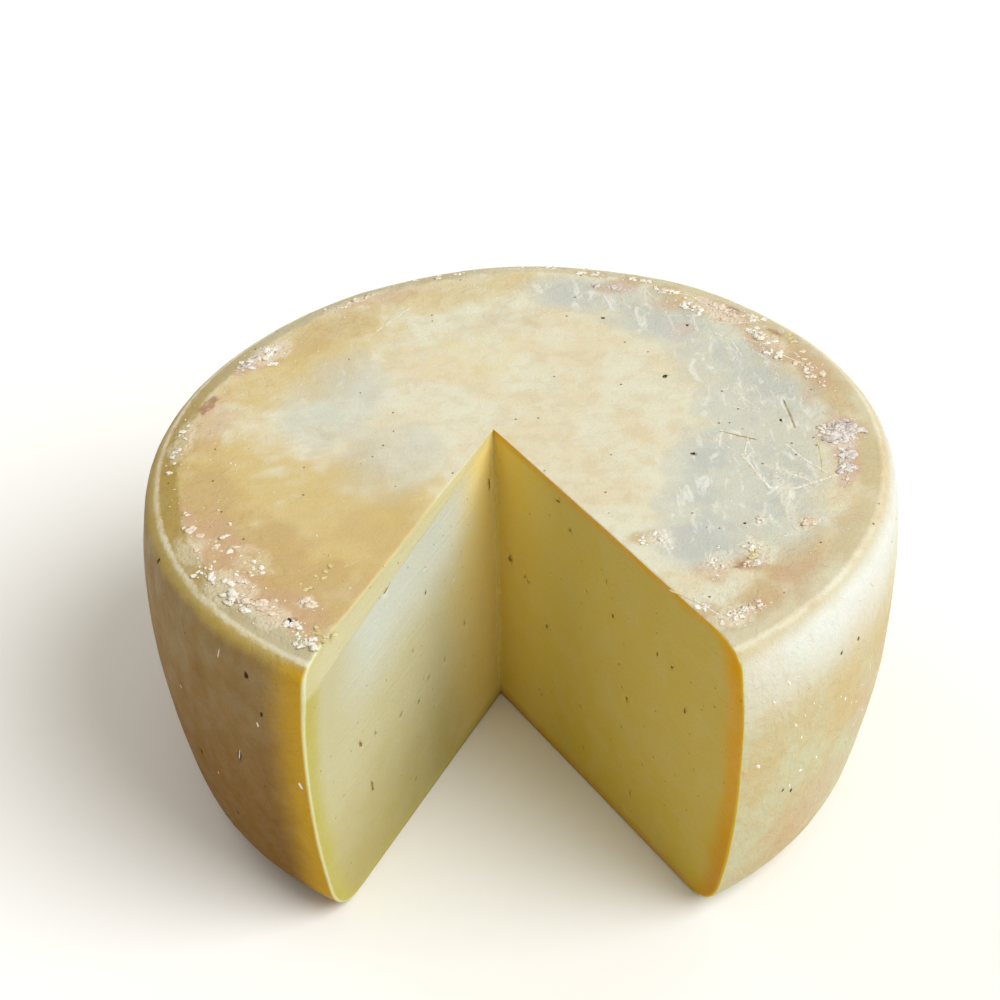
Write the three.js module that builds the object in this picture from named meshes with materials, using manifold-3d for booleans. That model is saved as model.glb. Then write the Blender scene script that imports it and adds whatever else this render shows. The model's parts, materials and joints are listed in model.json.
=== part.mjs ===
// A farmhouse cheese wheel with a slice cut out of it. Millimetres, +Z up.
// It is one piece of cheese: a wheel with a bulging side and a flat base, and a wedge-shaped
// notch cut right through it from top to base. The notch opens towards -Y.
// The origin is at the middle of the wheel's bounding box, on the plane it rests on.
import * as THREE from 'three';
import { mergeVertices } from 'three/addons/utils/BufferGeometryUtils.js';
import Module from 'manifold-3d';

const wasm = await Module();
wasm.setup();

// The wheel
const wheelRadius = 130;          // at its widest
const wheelHeight = 120;          // at its axis
const widestHeight = 84;          // the side bulges most above the middle
const baseRadius = 104;           // flat part of the base
const heelRadius = 122.5;         // where the round bottom corner meets the side
const heelHeight = 17;
const shoulderRadius = 127.6;     // where the side turns in to the top rim
const shoulderHeight = 111.5;
const rimRadius = 122.5;          // the crisp line left by the mould's lid
const rimHeight = 117.8;
const topRadius = 113;            // flat part of the top, inside the sloping rim
const thickening = { x: 0.00020, y: 0.00015 };   // per mm: one side of the wheel is thicker

// How far the curves' handles reach from the outline's points, which sets how full each curve is
const handles = {
  base: 9,              // outwards along the base
  heelBelow: 12,        // down from the heel
  heelAbove: 22,        // up from the heel
  heelLean: 0.22,       // outwards for each millimetre up, at the heel
  bulgeBelow: 28,       // down from the widest height
  bulgeAbove: 12,       // up from it
  shoulderBelow: 8,     // down from the shoulder
  shoulderOut: 1.4,     // and outwards
};
const rimCorner = { inwards: 1, below: 1.2 };   // from the shoulder's radius and the rim's height
const rimSlope = 5;                             // inwards from the rim, where the slope meets the top

// The notch
const notchAngle = THREE.MathUtils.degToRad(57.4);
const notchApex = { x: -7.7, y: 12.7 };   // from the wheel's axis: the cuts meet a little past it
const notchReach = 200;                   // the cutting prism ends outside the wheel
const notchMargin = 10;                   // and above and below it

// Facets
const turnSteps = 96;
const curveSteps = 5;
const weldGap = 0.001;    // corners nearer than this are one corner

const cheese = new THREE.MeshStandardMaterial({
  name: 'cheese',
  color: 0xe2cf95,
  roughness: 0.62,
  metalness: 0,
  flatShading: true,
});

// Radius and height of the wheel's edge, from the middle of the base to the middle of the top.
function wheelOutline() {
  const outline = new THREE.Path();
  outline.moveTo(0, 0);
  outline.lineTo(baseRadius, 0);
  outline.bezierCurveTo(
    baseRadius + handles.base, 0,
    heelRadius - handles.heelBelow * handles.heelLean, heelHeight - handles.heelBelow,
    heelRadius, heelHeight,
  );
  outline.bezierCurveTo(
    heelRadius + handles.heelAbove * handles.heelLean, heelHeight + handles.heelAbove,
    wheelRadius, widestHeight - handles.bulgeBelow,
    wheelRadius, widestHeight,
  );
  outline.bezierCurveTo(
    wheelRadius, widestHeight + handles.bulgeAbove,
    shoulderRadius + handles.shoulderOut, shoulderHeight - handles.shoulderBelow,
    shoulderRadius, shoulderHeight,
  );
  outline.quadraticCurveTo(
    shoulderRadius - rimCorner.inwards, rimHeight - rimCorner.below,
    rimRadius, rimHeight,
  );
  outline.quadraticCurveTo(
    rimRadius - rimSlope, wheelHeight,
    topRadius, wheelHeight,
  );
  outline.lineTo(0, wheelHeight);
  return outline.getPoints(curveSteps);
}

// A closed geometry as a manifold solid: only position is kept, shared corners are merged,
// and triangles that have no area (where a lathe meets its axis) are dropped.
function toSolid(geometry) {
  const bare = geometry.clone();
  bare.deleteAttribute('normal');
  bare.deleteAttribute('uv');
  const merged = mergeVertices(bare, weldGap);
  const corners = merged.index.array;
  const triangles = [];
  for (let i = 0; i < corners.length; i += 3) {
    const [a, b, c] = corners.slice(i, i + 3);
    if (a !== b && b !== c && c !== a) {
      triangles.push(a, b, c);
    }
  }
  return new wasm.Manifold(new wasm.Mesh({
    numProp: 3,
    vertProperties: new Float32Array(merged.attributes.position.array),
    triVerts: new Uint32Array(triangles),
  }));
}

function toGeometry(solid) {
  const mesh = solid.getMesh();
  const geometry = new THREE.BufferGeometry();
  const places = new Float32Array(mesh.vertProperties);
  const corners = new Uint32Array(mesh.triVerts);
  geometry.setAttribute('position', new THREE.BufferAttribute(places, 3));
  geometry.setIndex(new THREE.BufferAttribute(corners, 1));
  geometry.computeVertexNormals();
  return geometry;
}

function wholeWheel() {
  const geometry = new THREE.LatheGeometry(wheelOutline(), turnSteps);
  geometry.rotateX(Math.PI / 2);
  const place = geometry.attributes.position;
  for (let i = 0; i < place.count; i += 1) {
    const growth = 1 + thickening.x * place.getX(i) + thickening.y * place.getY(i);
    place.setZ(i, place.getZ(i) * growth);
  }
  return geometry;
}

// The slice that was taken out: a prism whose two upright faces meet at the notch's apex.
function takenSlice() {
  const halfWidth = notchReach * Math.tan(notchAngle / 2);
  const plan = new THREE.Shape();
  plan.moveTo(notchApex.x, notchApex.y);
  plan.lineTo(notchApex.x - halfWidth, notchApex.y - notchReach);
  plan.lineTo(notchApex.x + halfWidth, notchApex.y - notchReach);
  plan.closePath();
  const geometry = new THREE.ExtrudeGeometry(plan, {
    depth: wheelHeight + 2 * notchMargin,
    bevelEnabled: false,
  });
  geometry.translate(0, 0, -notchMargin);
  return geometry;
}

function cutWheel() {
  const geometry = toGeometry(toSolid(wholeWheel()).subtract(toSolid(takenSlice())));
  geometry.computeBoundingBox();
  const middle = geometry.boundingBox.getCenter(new THREE.Vector3());
  geometry.translate(-middle.x, -middle.y, 0);
  const mesh = new THREE.Mesh(geometry, cheese);
  mesh.name = 'cheese_wheel';
  return mesh;
}

const model = new THREE.Group();
model.add(cutWheel());

export default model;
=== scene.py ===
import json
import math
import random

import bmesh
import bpy
import numpy as np
from mathutils import Matrix, Vector, noise
from mathutils.geometry import delaunay_2d_cdt

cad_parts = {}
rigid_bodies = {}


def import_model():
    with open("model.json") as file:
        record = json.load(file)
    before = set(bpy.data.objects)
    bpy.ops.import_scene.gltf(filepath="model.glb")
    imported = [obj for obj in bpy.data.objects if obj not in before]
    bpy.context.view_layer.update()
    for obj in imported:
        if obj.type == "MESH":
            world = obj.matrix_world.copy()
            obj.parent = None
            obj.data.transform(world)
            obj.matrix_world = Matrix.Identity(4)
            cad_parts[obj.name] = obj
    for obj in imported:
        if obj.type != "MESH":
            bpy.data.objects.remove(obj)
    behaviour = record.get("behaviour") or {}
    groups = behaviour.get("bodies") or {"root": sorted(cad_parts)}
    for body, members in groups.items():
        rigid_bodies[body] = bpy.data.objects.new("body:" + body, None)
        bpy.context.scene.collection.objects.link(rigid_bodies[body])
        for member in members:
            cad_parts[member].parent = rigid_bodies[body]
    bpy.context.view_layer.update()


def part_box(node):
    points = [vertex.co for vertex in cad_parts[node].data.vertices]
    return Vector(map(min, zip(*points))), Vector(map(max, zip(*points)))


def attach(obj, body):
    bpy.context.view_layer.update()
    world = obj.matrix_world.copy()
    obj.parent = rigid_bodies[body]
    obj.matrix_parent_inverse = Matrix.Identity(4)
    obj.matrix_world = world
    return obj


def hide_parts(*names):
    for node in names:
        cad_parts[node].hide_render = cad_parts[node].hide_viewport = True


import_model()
scene = bpy.context.scene
mm = 0.001

# The wheel's form. Sizes are in metres, and its place comes from the frame's own box.
low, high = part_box("cheese_wheel")
wheel = dict(
    radius=(high.x - low.x) / 2,
    height=120 * mm,            # at the axis
    thicker=(0.20, 0.15),       # the top rises by this much per metre, along x and y
    topRadius=113 * mm,         # flat part of the top
    rimRadius=122.5 * mm,       # crest left by the mould's lid
    rimHeight=117.8 * mm,
    shoulderRadius=127.6 * mm,  # where the rim has turned down into the side
    shoulderHeight=111.5 * mm,
    widestHeight=84 * mm,
    heelRadius=122.5 * mm,      # where the side turns in to the base
    heelHeight=17 * mm,
    baseRadius=104 * mm,
)
axis = np.array([(low.x + high.x) / 2, high.y - wheel["radius"]])
notch = dict(
    apex=axis + np.array([-7.7, 12.7]) * mm,   # the two cuts meet a little past the axis
    halfAngle=math.radians(28.7),
    facetWidth=(1 * mm, 12.5 * mm),   # strip under the left cut's top edge, at the axis and at the rind
    facetLift=1.3 * mm,               # its lower crease stands this proud
)
body = dict(
    columns=400,                      # stops round the wheel, from one cut to the other
    topRows=62,
    baseRows=12,
    fadeRows=16,                      # the unevenness dies away over this many rows above the base
    cutSpacing=2.6 * mm,
    edgeRound=1.0 * mm,               # the cut edges are slightly rounded
    swell=0.45 * mm,                  # hand-made unevenness, over about 45 mm
    swellSize=45 * mm,
    dimple=0.13 * mm,                 # and over about 10 mm
    dimpleSize=10 * mm,
    ridge=0.36 * mm,                  # the rim's crest
    ridgeWidth=0.9 * mm,
    groove=0.40 * mm,                 # the crease under it
    grooveWidth=1.5 * mm,
    grooveDrop=3.6 * mm,
    calmReach=20 * mm,                # rounding and edges grow from nothing over this far from the apex
)
handles = dict(                       # how far the edge's curves are drawn out between its named points
    rimIn=5 * mm,
    shoulderIn=1 * mm,
    rimDown=1.2 * mm,
    shoulderOut=1.4 * mm,
    shoulderDown=8 * mm,
    widestUp=12 * mm,
    widestDown=28 * mm,
    heelOut=4.8 * mm,
    heelUp=22 * mm,
    heelIn=2.6 * mm,
    heelDown=12 * mm,
    baseOut=9 * mm,
)
arcSteps = (9, 12, 18, 40, 14)        # outline points in each of its five arcs
knife = dict(
    wander=0.35 * mm,                 # the cuts are not quite flat
    wanderSize=(60 * mm, 42 * mm),
    calm=(15 * mm, 10 * mm, 6 * mm),  # near the apex, the base and the top they are
    facetFoot=34 * mm,                # the facet's swelling fades out this far under its crease
    facetStart=40 * mm,               # and comes in over this far from the apex
    facetEnd=5 * mm,
    facetRows=1.8 * mm,
    creaseHalf=0.7 * mm,
)


def bend(points, count):
    # a Bezier arc through any number of control points
    t = np.linspace(0, 1, count + 1)[:, None]
    level = [np.array(p, float) + 0 * t for p in points]
    while len(level) > 1:
        level = [a * (1 - t) + b * t for a, b in zip(level, level[1:])]
    return level[0]


def edgeOutline():
    # radius and height of the wheel's edge, from the flat top out and down to the flat base
    w, h = wheel, handles
    rim = (w["rimRadius"], w["rimHeight"])
    shoulder = (w["shoulderRadius"], w["shoulderHeight"])
    widest = (w["radius"], w["widestHeight"])
    heel = (w["heelRadius"], w["heelHeight"])
    curves = [
        [(w["topRadius"], w["height"]), (rim[0] - h["rimIn"], w["height"]), rim],
        [rim, (shoulder[0] - h["shoulderIn"], rim[1] - h["rimDown"]), shoulder],
        [shoulder, (shoulder[0] + h["shoulderOut"], shoulder[1] - h["shoulderDown"]),
         (widest[0], widest[1] + h["widestUp"]), widest],
        [widest, (widest[0], widest[1] - h["widestDown"]),
         (heel[0] + h["heelOut"], heel[1] + h["heelUp"]), heel],
        [heel, (heel[0] - h["heelIn"], heel[1] - h["heelDown"]),
         (w["baseRadius"] + h["baseOut"], 0), (w["baseRadius"], 0)],
    ]
    arcs = [bend(curve, count) for curve, count in zip(curves, arcSteps)]
    return np.vstack([arcs[0]] + [arc[1:] for arc in arcs[1:]])


outline = edgeOutline()
rimRow = arcSteps[0]
steps = np.linalg.norm(np.diff(outline, axis=0), axis=1)
travel = np.concatenate([[0], np.cumsum(steps)])
fromRim = travel - travel[rimRow]
slope = np.gradient(outline, travel, axis=0)
outlineNormal = np.stack([-slope[:, 1], slope[:, 0]], 1)
outlineNormal /= np.linalg.norm(outlineNormal, axis=1)[:, None]


def thickening(x, y):
    return 1 + wheel["thicker"][0] * (x - axis[0]) + wheel["thicker"][1] * (y - axis[1])


def wobble(point, size, seed):
    return noise.noise(Vector((point[0] / size + seed, point[1] / size, point[2] / size - seed)))


def aroundNoise(angle, turns, seed):
    return noise.noise(Vector((math.cos(angle) * turns, math.sin(angle) * turns, seed)))


def relief(point, rimTravel, share):
    # how far the real surface stands proud of the smooth form
    b = body
    angle = math.atan2(point[1] - axis[1], point[0] - axis[0])
    proud = b["swell"] * wobble(point, b["swellSize"], 3.1)
    proud += b["dimple"] * wobble(point, b["dimpleSize"], 8.7)
    if rimTravel is not None:
        crest = 0.75 + 0.9 * aroundNoise(angle, 5, 2.2) + 0.5 * aroundNoise(angle, 17, 6.2)
        proud += b["ridge"] * max(crest, 0.1) * math.exp(-(rimTravel / b["ridgeWidth"]) ** 2)
        crease = 0.7 + 0.9 * aroundNoise(angle, 3, 9.4)
        drop = (rimTravel - b["grooveDrop"]) / b["grooveWidth"]
        proud -= b["groove"] * max(crease, 0) * math.exp(-drop ** 2)
    return proud * share


def reach(bearing, radius):
    # how far from the notch's apex a line at this bearing meets a circle about the wheel's axis
    away = notch["apex"] - axis
    along = away[0] * math.sin(bearing) - away[1] * math.cos(bearing)
    return -along + math.sqrt(along ** 2 - away @ away + radius ** 2)


def stations():
    # every row of the skin as (share of the flat, outline row or None, normal, relief share)
    rows = []
    for i in range(1, body["topRows"]):
        rows.append((i / body["topRows"], None, (0, 1), 1))
    last = len(outline) - 1
    for j in range(last + 1):
        fade = min(1, (last - j) / body["fadeRows"])
        rows.append((None, j, outlineNormal[j], fade))
    for i in range(body["baseRows"] - 1, 0, -1):
        rows.append((i / body["baseRows"], None, (0, -1), 0))
    return rows


def skinPoint(bearing, row, inset=0):
    share, j, normal, reliefShare = row
    d = np.array([math.sin(bearing), -math.cos(bearing)])
    if j is None:
        top = normal[1] > 0
        k = share * reach(bearing, wheel["topRadius" if top else "baseRadius"])
        z = wheel["height"] if top else 0
        rimTravel = None
    else:
        k = reach(bearing, outline[j][0])
        z = outline[j][1]
        rimTravel = fromRim[j]
    x, y = notch["apex"] + k * d
    z *= thickening(x, y)
    out = np.array([x, y]) - axis
    out /= max(np.linalg.norm(out), 1e-9)
    direction = np.array([out[0] * normal[0], out[1] * normal[0], normal[1]])
    point = np.array([x, y, z])
    nearApex = min(1, k / body["calmReach"])
    proud = relief(point, rimTravel, reliefShare) - inset * nearApex
    point = point + direction * proud
    point[2] = max(point[2], 0)
    return point, direction


def insidePolygon(points, polygon):
    x, y = points[:, 0], points[:, 1]
    inside = np.zeros(len(points), bool)
    for a, b in zip(polygon, np.roll(polygon, -1, axis=0)):
        crosses = (a[1] > y) != (b[1] > y)
        across = a[0] + (y - a[1]) * (b[0] - a[0]) / ((b[1] - a[1]) or 1e-12)
        inside ^= crosses & (x < across)
    return inside


def distanceToLine(points, line):
    # nearest distance from each point to a polyline, and the share along it where it is met
    best = np.full(len(points), 1e9)
    where = np.zeros(len(points))
    for i, (a, b) in enumerate(zip(line, line[1:])):
        ab = b - a
        t = np.clip(((points - a) @ ab) / max(ab @ ab, 1e-18), 0, 1)
        gap = np.linalg.norm(points - (a + t[:, None] * ab), axis=1)
        closer = gap < best
        best[closer] = gap[closer]
        where[closer] = i + t[closer]
    return best, where


def facetCrease(k, reachHere):
    # how far under the top edge the left cut's facet ends
    near, far = notch["facetWidth"]
    return near + (far - near) * min(max(k / reachHere, 0), 1) ** 1.3


def cutLift(side, k, z, top, reachHere):
    # the knife's path: how far the cut stands towards the notch, away from its edges
    nearApex, nearBase, nearTop = knife["calm"]
    calm = min(1, k / nearApex, max(0, z) / nearBase, max(0, top - z) / nearTop)
    along, up = knife["wanderSize"]
    lift = knife["wander"] * calm * noise.noise(Vector((k / along, z / up, 4 * side)))
    if side < 0:
        under = top - z
        crease = facetCrease(k, reachHere)
        shape = under / crease if under < crease else max(0, 1 - (under - crease) / knife["facetFoot"])
        start = min(1, k / knife["facetStart"])
        end = min(1, max(0, reachHere - k) / knife["facetEnd"])
        lift += notch["facetLift"] * shape * start * end
    return lift


def buildBody():
    rows = stations()
    b = body
    cornerShares = (0.293, 0.617, 1, 1.9)         # of the rounding, as met going away from a cut
    cornerInsets = (0.293, 0.076, 0, 0)
    rim = reach(math.pi / 2, wheel["radius"])
    offsets = [share * b["edgeRound"] / rim for share in cornerShares]
    start, end = notch["halfAngle"], 2 * math.pi - notch["halfAngle"]
    inner = np.linspace(start + offsets[-1], end - offsets[-1], b["columns"])[1:-1]
    bearings = [start + o for o in offsets] + list(inner) + [end - o for o in reversed(offsets)]
    insets = [i * b["edgeRound"] for i in cornerInsets]
    insets = insets + [0] * len(inner) + insets[::-1]

    points, faces, kinds = [], [], []             # kinds: 0 rind, 1 paste
    for bearing, inset in zip(bearings, insets):
        for row in rows:
            points.append(skinPoint(bearing, row, inset)[0])
    count = len(rows)
    apexTop, apexBottom = len(points), len(points) + 1
    apexHeight = wheel["height"] * thickening(*notch["apex"])
    points += [np.array([*notch["apex"], apexHeight]), np.array([*notch["apex"], 0])]
    for c in range(len(bearings) - 1):
        a, d = c * count, (c + 1) * count
        faces.append((apexTop, a, d))
        faces += [(a + i, a + i + 1, d + i + 1, d + i) for i in range(count - 1)]
        faces.append((a + count - 1, apexBottom, d + count - 1))
    kinds += [0] * len(faces)

    # the line where the two cuts meet
    ringOffsets = [s * b["edgeRound"] for s in cornerShares[1:]]
    ringDepths = [s * b["edgeRound"] for s in cornerInsets[1:]]
    spine = [apexHeight - o for o in ringOffsets]
    spine += list(np.linspace(spine[-1], ringOffsets[-1], 44)[1:-1])
    spine += list(reversed(ringOffsets))
    spineStart = len(points)
    points += [np.array([*notch["apex"], z]) for z in spine]
    rings = len(ringOffsets)

    for side, bearing, column in ((1, start, 0), (-1, end, len(bearings) - 1)):
        d = np.array([math.sin(bearing), -math.cos(bearing)])
        away = np.array([-side * math.cos(notch["halfAngle"]), -math.sin(notch["halfAngle"])])
        edge = [apexTop] + [column * count + i for i in range(count)] + [apexBottom]
        flat, inward = [(0, apexHeight)], [(0, -1)]
        for row in rows:
            point, _ = skinPoint(bearing, row)
            flat.append(((point[:2] - notch["apex"]) @ d, point[2]))
            inward.append((-row[2][0], -row[2][1]))
        flat.append((0, 0))
        inward.append((0, 1))
        flat, inward = np.array(flat), np.array(inward, float)
        tops = flat[: b["topRows"] + 12]          # the top edge, past the rim's crest
        reachHere = flat[:, 0].max()

        def place(k, z, depth=0):
            top = np.interp(k, tops[:, 0], tops[:, 1])
            lift = cutLift(side, k, z, top, reachHere) - depth * min(1, k / b["calmReach"])
            x, y = notch["apex"] + d * k + away * lift
            return np.array([x, y, z])

        previous = edge
        for r in range(rings):
            ring = [spineStart + r]
            for (k, z), (ik, iz) in zip(flat[1:-1], inward[1:-1]):
                ring.append(len(points))
                points.append(place(k + ik * ringOffsets[r], z + iz * ringOffsets[r], ringDepths[r]))
            ring.append(spineStart + len(spine) - 1 - r)
            faces += [(previous[i], previous[i + 1], ring[i + 1], ring[i]) for i in range(len(ring) - 1)]
            previous = ring
        inset = flat + inward * ringOffsets[-1]
        inset[0], inset[-1] = (0, spine[rings - 1]), (0, ringOffsets[-1])
        spineInner = list(range(rings, len(spine) - rings))
        polygon = np.vstack([inset, [(0, spine[i]) for i in reversed(spineInner)]])
        border = previous + [spineStart + i for i in reversed(spineInner)]
        gap = b["cutSpacing"]
        grid = np.array([(k + (n % 2) * gap / 2, z)
                         for n, z in enumerate(np.arange(0, 130 * mm, gap * 0.87))
                         for k in np.arange(0, 150 * mm, gap)])
        if side < 0:
            ks = np.arange(4 * mm, reachHere, knife["facetRows"])
            crease = [(k, np.interp(k, tops[:, 0], tops[:, 1]) - facetCrease(k, reachHere) + s)
                      for k in ks for s in (-knife["creaseHalf"], 0, knife["creaseHalf"])]
            near, _ = distanceToLine(grid, np.array(crease[1::3]))
            grid = np.vstack([grid[near > 1.6 * mm], crease])
        clear, _ = distanceToLine(grid, np.vstack([polygon, polygon[:1]]))
        grid = grid[insidePolygon(grid, polygon) & (clear > 0.5 * mm)]
        flatAll = [Vector(p) for p in np.vstack([polygon, grid])]
        found = delaunay_2d_cdt(flatAll, [], [list(range(len(polygon)))], 1, 1e-7)
        own = list(border)
        for k, z in grid:
            own.append(len(points))
            points.append(place(k, z))
        source = [own[origin[0]] for origin in found[3]]
        faces += [tuple(source[i] for i in face) for face in found[2]]
        kinds += [1] * (len(faces) - len(kinds))
    return points, faces, kinds


def turnOutwards(data):
    shell = bmesh.new()
    shell.from_mesh(data)
    bmesh.ops.recalc_face_normals(shell, faces=shell.faces)
    shell.to_mesh(data)
    shell.free()


def makeObject(name, points, faces, materials, kinds=None, smooth=True):
    data = bpy.data.meshes.new(name)
    data.from_pydata([tuple(p) for p in points], [], faces)
    for material in materials:
        data.materials.append(material)
    if kinds is not None:
        data.polygons.foreach_set("material_index", kinds)
    data.polygons.foreach_set("use_smooth", [smooth] * len(data.polygons))
    data.update()
    turnOutwards(data)
    made = bpy.data.objects.new(name, data)
    scene.collection.objects.link(made)
    return made


# Places on the cheese. A bearing is in degrees about the axis, anticlockwise from +x.
def surfaceAt(bearing, share):
    angle = math.radians(bearing)
    out = np.array([math.cos(angle), math.sin(angle)])
    radius = share * wheel["radius"]
    x, y = axis + radius * out
    top = outline[:, 1] > wheel["widestHeight"]
    z = np.interp(radius, outline[top, 0], outline[top, 1]) * thickening(x, y)
    return np.array([x, y, z]), out


def onTop(bearing, share):
    # the place, the way out towards the rim, the way round, and straight up
    point, out = surfaceAt(bearing, share)
    outward = np.array([*out, 0])
    around = np.array([-out[1], out[0], 0])
    normal = np.array([0, 0, 1.0])
    point[2] += relief(point, None, 1)
    return point, outward, around, normal


def onSide(bearing, z):
    angle = math.radians(bearing)
    out = np.array([math.cos(angle), math.sin(angle)])
    flat = z / thickening(*(axis + wheel["radius"] * out))
    lower = outline[::-1]
    radius = np.interp(flat, lower[:, 1], lower[:, 0])
    normal = np.array([np.interp(flat, lower[:, 1], outlineNormal[::-1, i]) for i in (0, 1)])
    normal = np.array([out[0] * normal[0], out[1] * normal[0], normal[1]])
    around = np.array([-out[1], out[0], 0])
    up = np.cross(normal, around)
    point = np.array([*(axis + radius * out), z])
    point = point + normal * relief(point, None, 1)
    return point, up, around, normal


def onCut(side, k, z):
    # side is 1 for the cut on the right of the notch, -1 for the left; k is the distance from its apex
    bearing = side * notch["halfAngle"]
    along = np.array([math.sin(bearing), -math.cos(bearing), 0])
    normal = np.array([-side * math.cos(notch["halfAngle"]), -math.sin(notch["halfAngle"]), 0])
    reachHere = reach(bearing, wheel["radius"])
    x, y = notch["apex"] + along[:2] * k
    top = wheel["height"] * thickening(x, y)
    point = np.array([x, y, z]) + normal * cutLift(side, k, z, top, reachHere)
    return point, np.array([0, 0, 1.0]), along, normal


def lump(place, size, turn=0, sink=0.0, rough=0.35, detail=3, seed=0.0):
    # a roughened ball, pressed into place: size is (along the first way, along the second, thick)
    origin, first, second, normal = place
    ball = icosphere(detail)
    broad, fine = Vector((seed, seed * 0.7, -seed)), Vector((seed, 5, seed))
    jitter = np.array([1 + rough * noise.noise(Vector(v) * 1.3 + broad)
                       + 0.5 * rough * noise.noise(Vector(v) * 3.1 + fine) for v in ball[0]])
    local = ball[0] * jitter[:, None] * np.array(size) / 2
    c, s = math.cos(math.radians(turn)), math.sin(math.radians(turn))
    a, b = first * c + second * s, second * c - first * s
    if np.dot(np.cross(a, b), normal) < 0:
        b = -b
    points = origin - normal * sink + local[:, :1] * a + local[:, 1:2] * b + local[:, 2:] * normal
    return points, ball[1]


ballCache = {}


def icosphere(detail):
    if detail not in ballCache:
        ball = bmesh.new()
        bmesh.ops.create_icosphere(ball, subdivisions=detail, radius=1)
        ball.verts.ensure_lookup_table()
        ballCache[detail] = (np.array([v.co[:] for v in ball.verts]),
                             [tuple(v.index for v in f.verts) for f in ball.faces])
        ball.free()
    return ballCache[detail]


def gather(lumps):
    points, faces, start = [], [], 0
    for p, f in lumps:
        points.append(p)
        faces += [tuple(i + start for i in face) for face in f]
        start += len(p)
    return np.vstack(points), faces


# Crusts: (finish, bearing, share, half-length outwards, half-length round, flakes, flake size, turn)
crusts = [
    ("chalk", -143, 0.885, 3, 8, 20, 2.0, 0), ("rose", -139, 0.87, 4, 8, 16, 2.0, 0),
    ("chalk", -152, 0.90, 3, 6, 10, 1.7, 0), ("rose", -165, 0.88, 3, 10, 10, 1.7, 0),
    ("rose", -158, 0.83, 6, 12, 10, 1.6, 0), ("chalk", -150, 0.79, 6, 8, 9, 1.5, 0),
    ("rose", -134, 0.79, 2, 3, 5, 2.0, 0), ("chalk", -127.5, 0.90, 2, 4, 14, 1.6, 0),
    ("chalk", -131.5, 0.872, 2, 3, 12, 1.8, 0), ("straw", -126.5, 0.86, 3, 4, 8, 1.5, 0),
    ("straw", -136, 0.70, 9, 9, 7, 1.4, 0), ("rose", -146, 0.84, 3, 5, 8, 1.8, 0),
    ("chalk", -57.5, 0.862, 3, 5, 16, 1.5, 0), ("rose", -54, 0.872, 2, 4, 8, 1.4, 0),
    ("chalk", -60, 0.80, 3, 2, 6, 1.2, 0), ("chalk", -50, 0.70, 2, 6, 9, 1.2, 30),
    ("rose", -46, 0.75, 1.2, 2, 5, 1.4, 0), ("chalk", -44.5, 0.765, 1.5, 1.5, 7, 1.4, 0),
    ("straw", -42, 0.74, 2.0, 3, 6, 1.3, 0), ("chalk", -41, 0.725, 2, 3, 9, 1.3, 0),
    ("chalk", -32.5, 0.688, 1.0, 1.0, 4, 1.4, 0), ("rose", -29.4, 0.80, 1.0, 1.4, 6, 2.2, 0),
    ("chalk", -52, 0.53, 3, 1.5, 8, 1.2, 0), ("chalk", -56, 0.50, 2, 1.2, 5, 1.2, 0),
    ("lilac", -1.5, 0.845, 5.0, 5.2, 62, 2.5, 0), ("chalk", -2, 0.84, 4.4, 5.0, 24, 1.8, 0),
    ("lilac", -8, 0.85, 2.0, 3.4, 18, 1.9, 0), ("lilac", -12.5, 0.855, 1.8, 3.4, 22, 1.9, 0),
    ("chalk", -12, 0.85, 1.2, 3, 6, 1.4, 0), ("rose", -16, 0.85, 1, 2, 5, 1.4, 0),
    ("rose", 20, 0.87, 3, 9, 12, 1.6, 0), ("chalk", 16, 0.86, 2.5, 7, 8, 1.4, 0),
    ("chalk", 27, 0.82, 3, 6, 12, 1.7, 0), ("straw", 30, 0.90, 2, 3, 6, 1.6, 0),
    ("chalk", 34, 0.84, 3, 5, 12, 1.8, 0), ("chalk", 39, 0.90, 1.6, 4, 9, 1.8, 0),
    ("rose", 44, 0.87, 3, 7, 18, 1.8, 0), ("chalk", 50, 0.83, 3.5, 7, 18, 1.8, 0),
    ("chalk", 57, 0.87, 2.4, 5, 12, 1.7, 0), ("chalk", 63, 0.90, 1.4, 6, 12, 1.6, 0),
    ("lilac", 68, 0.83, 1.2, 5, 9, 1.5, 0), ("chalk", 72, 0.90, 1.4, 5, 9, 1.5, 0),
    ("chalk", 82, 0.93, 1.0, 12, 9, 1.3, 0), ("chalk", 100, 0.92, 1.4, 12, 9, 1.3, 0),
    ("rose", 118, 0.90, 3, 9, 12, 1.8, 0), ("chalk", 141, 0.86, 4, 7, 16, 2.0, 0),
    ("lilac", 146, 0.88, 2, 6, 8, 1.6, 0), ("chalk", 172, 0.90, 3, 10, 14, 1.8, 0),
]
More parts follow.
